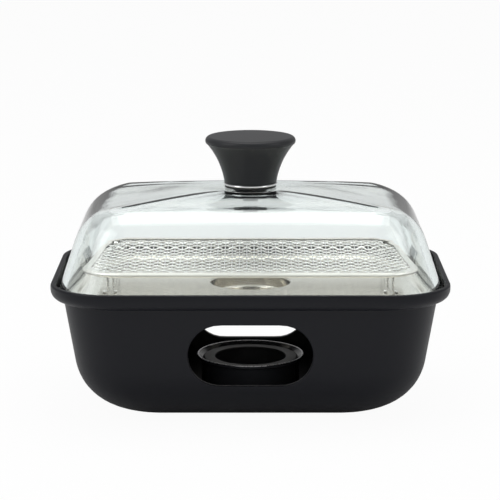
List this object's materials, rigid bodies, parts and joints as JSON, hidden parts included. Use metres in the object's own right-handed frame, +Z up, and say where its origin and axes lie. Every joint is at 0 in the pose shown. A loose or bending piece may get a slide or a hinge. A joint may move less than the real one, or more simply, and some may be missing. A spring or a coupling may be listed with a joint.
{
  "type": "table-top smoker box",
  "caption": "Table-top smoker: windowed cast base over a burner, drip tray with chip well, wire grill and lift-off glass lid with a knob.",
  "frame": {"origin": "on the ground under the middle of the base", "axes": "+X along the long side to the right, +Y to the back, +Z up; the two windows face -Y and +Y"},
  "size_m": [0.26, 0.1714, 0.1811],
  "materials": {
    "base_coating": "satin black coating on cast aluminium",
    "burner_coating": "semi-gloss black enamel on steel",
    "fuel_cup_steel": "bare drawn steel, a little smoked",
    "flame_ring_steel": "dark oxidised steel with a bare bright bore edge",
    "tray_steel": "bright polished stainless steel",
    "grill_wire": "bright stainless wire",
    "hem_steel": "folded bright stainless strip",
    "lid_glass": "clear pressed glass with blue-green edges",
    "gasket_rubber": "matt dark silicone",
    "ferrule_chrome": "polished",
    "knob_plastic": "satin black heat-resistant moulding",
    "insert_brass": "turned",
    "screw_steel": "bright zinc finish"
  },
  "bodies": {
    "base": {"base_body": "base_coating"},
    "burner": {"burner_cup": "burner_coating"},
    "fuel": {"fuel_cup": "fuel_cup_steel"},
    "flame": {"flame_ring": "flame_ring_steel"},
    "tray": {"tray": "tray_steel"},
    "grill": {"grill_mesh": "grill_wire", "grill_hem": "hem_steel", "grill_leg_front_left": "grill_wire", "grill_leg_front_right": "grill_wire", "grill_leg_rear_left": "grill_wire", "grill_leg_rear_right": "grill_wire"},
    "lid": {"glass_lid": "lid_glass", "upper_gasket": "gasket_rubber", "lower_gasket": "gasket_rubber", "knob_ferrule": "ferrule_chrome", "knob": "knob_plastic", "knob_insert": "insert_brass", "screw_washer": "screw_steel", "lid_screw": "screw_steel"}
  },
  "joints": [
    {"name": "tray_lift", "type": "slide", "parent": "base", "child": "tray", "axis": [0, 0, 1], "range_m": [0, 0.06]},
    {"name": "grill_lift", "type": "slide", "parent": "tray", "child": "grill", "axis": [0, 0, 1], "range_m": [0, 0.04]},
    {"name": "lid_lift", "type": "slide", "parent": "grill", "child": "lid", "axis": [0, 0, 1], "range_m": [0, 0.08]},
    {"name": "burner_lift", "type": "slide", "parent": "base", "child": "burner", "axis": [0, 0, 1], "range_m": [0, 0.006]},
    {"name": "fuel_cup_lift", "type": "slide", "parent": "burner", "child": "fuel", "axis": [0, 0, 1], "range_m": [0, 0.027]},
    {"name": "flame_ring_lift", "type": "slide", "parent": "fuel", "child": "flame", "axis": [0, 0, 1], "range_m": [0, 0.005]}
  ]
}
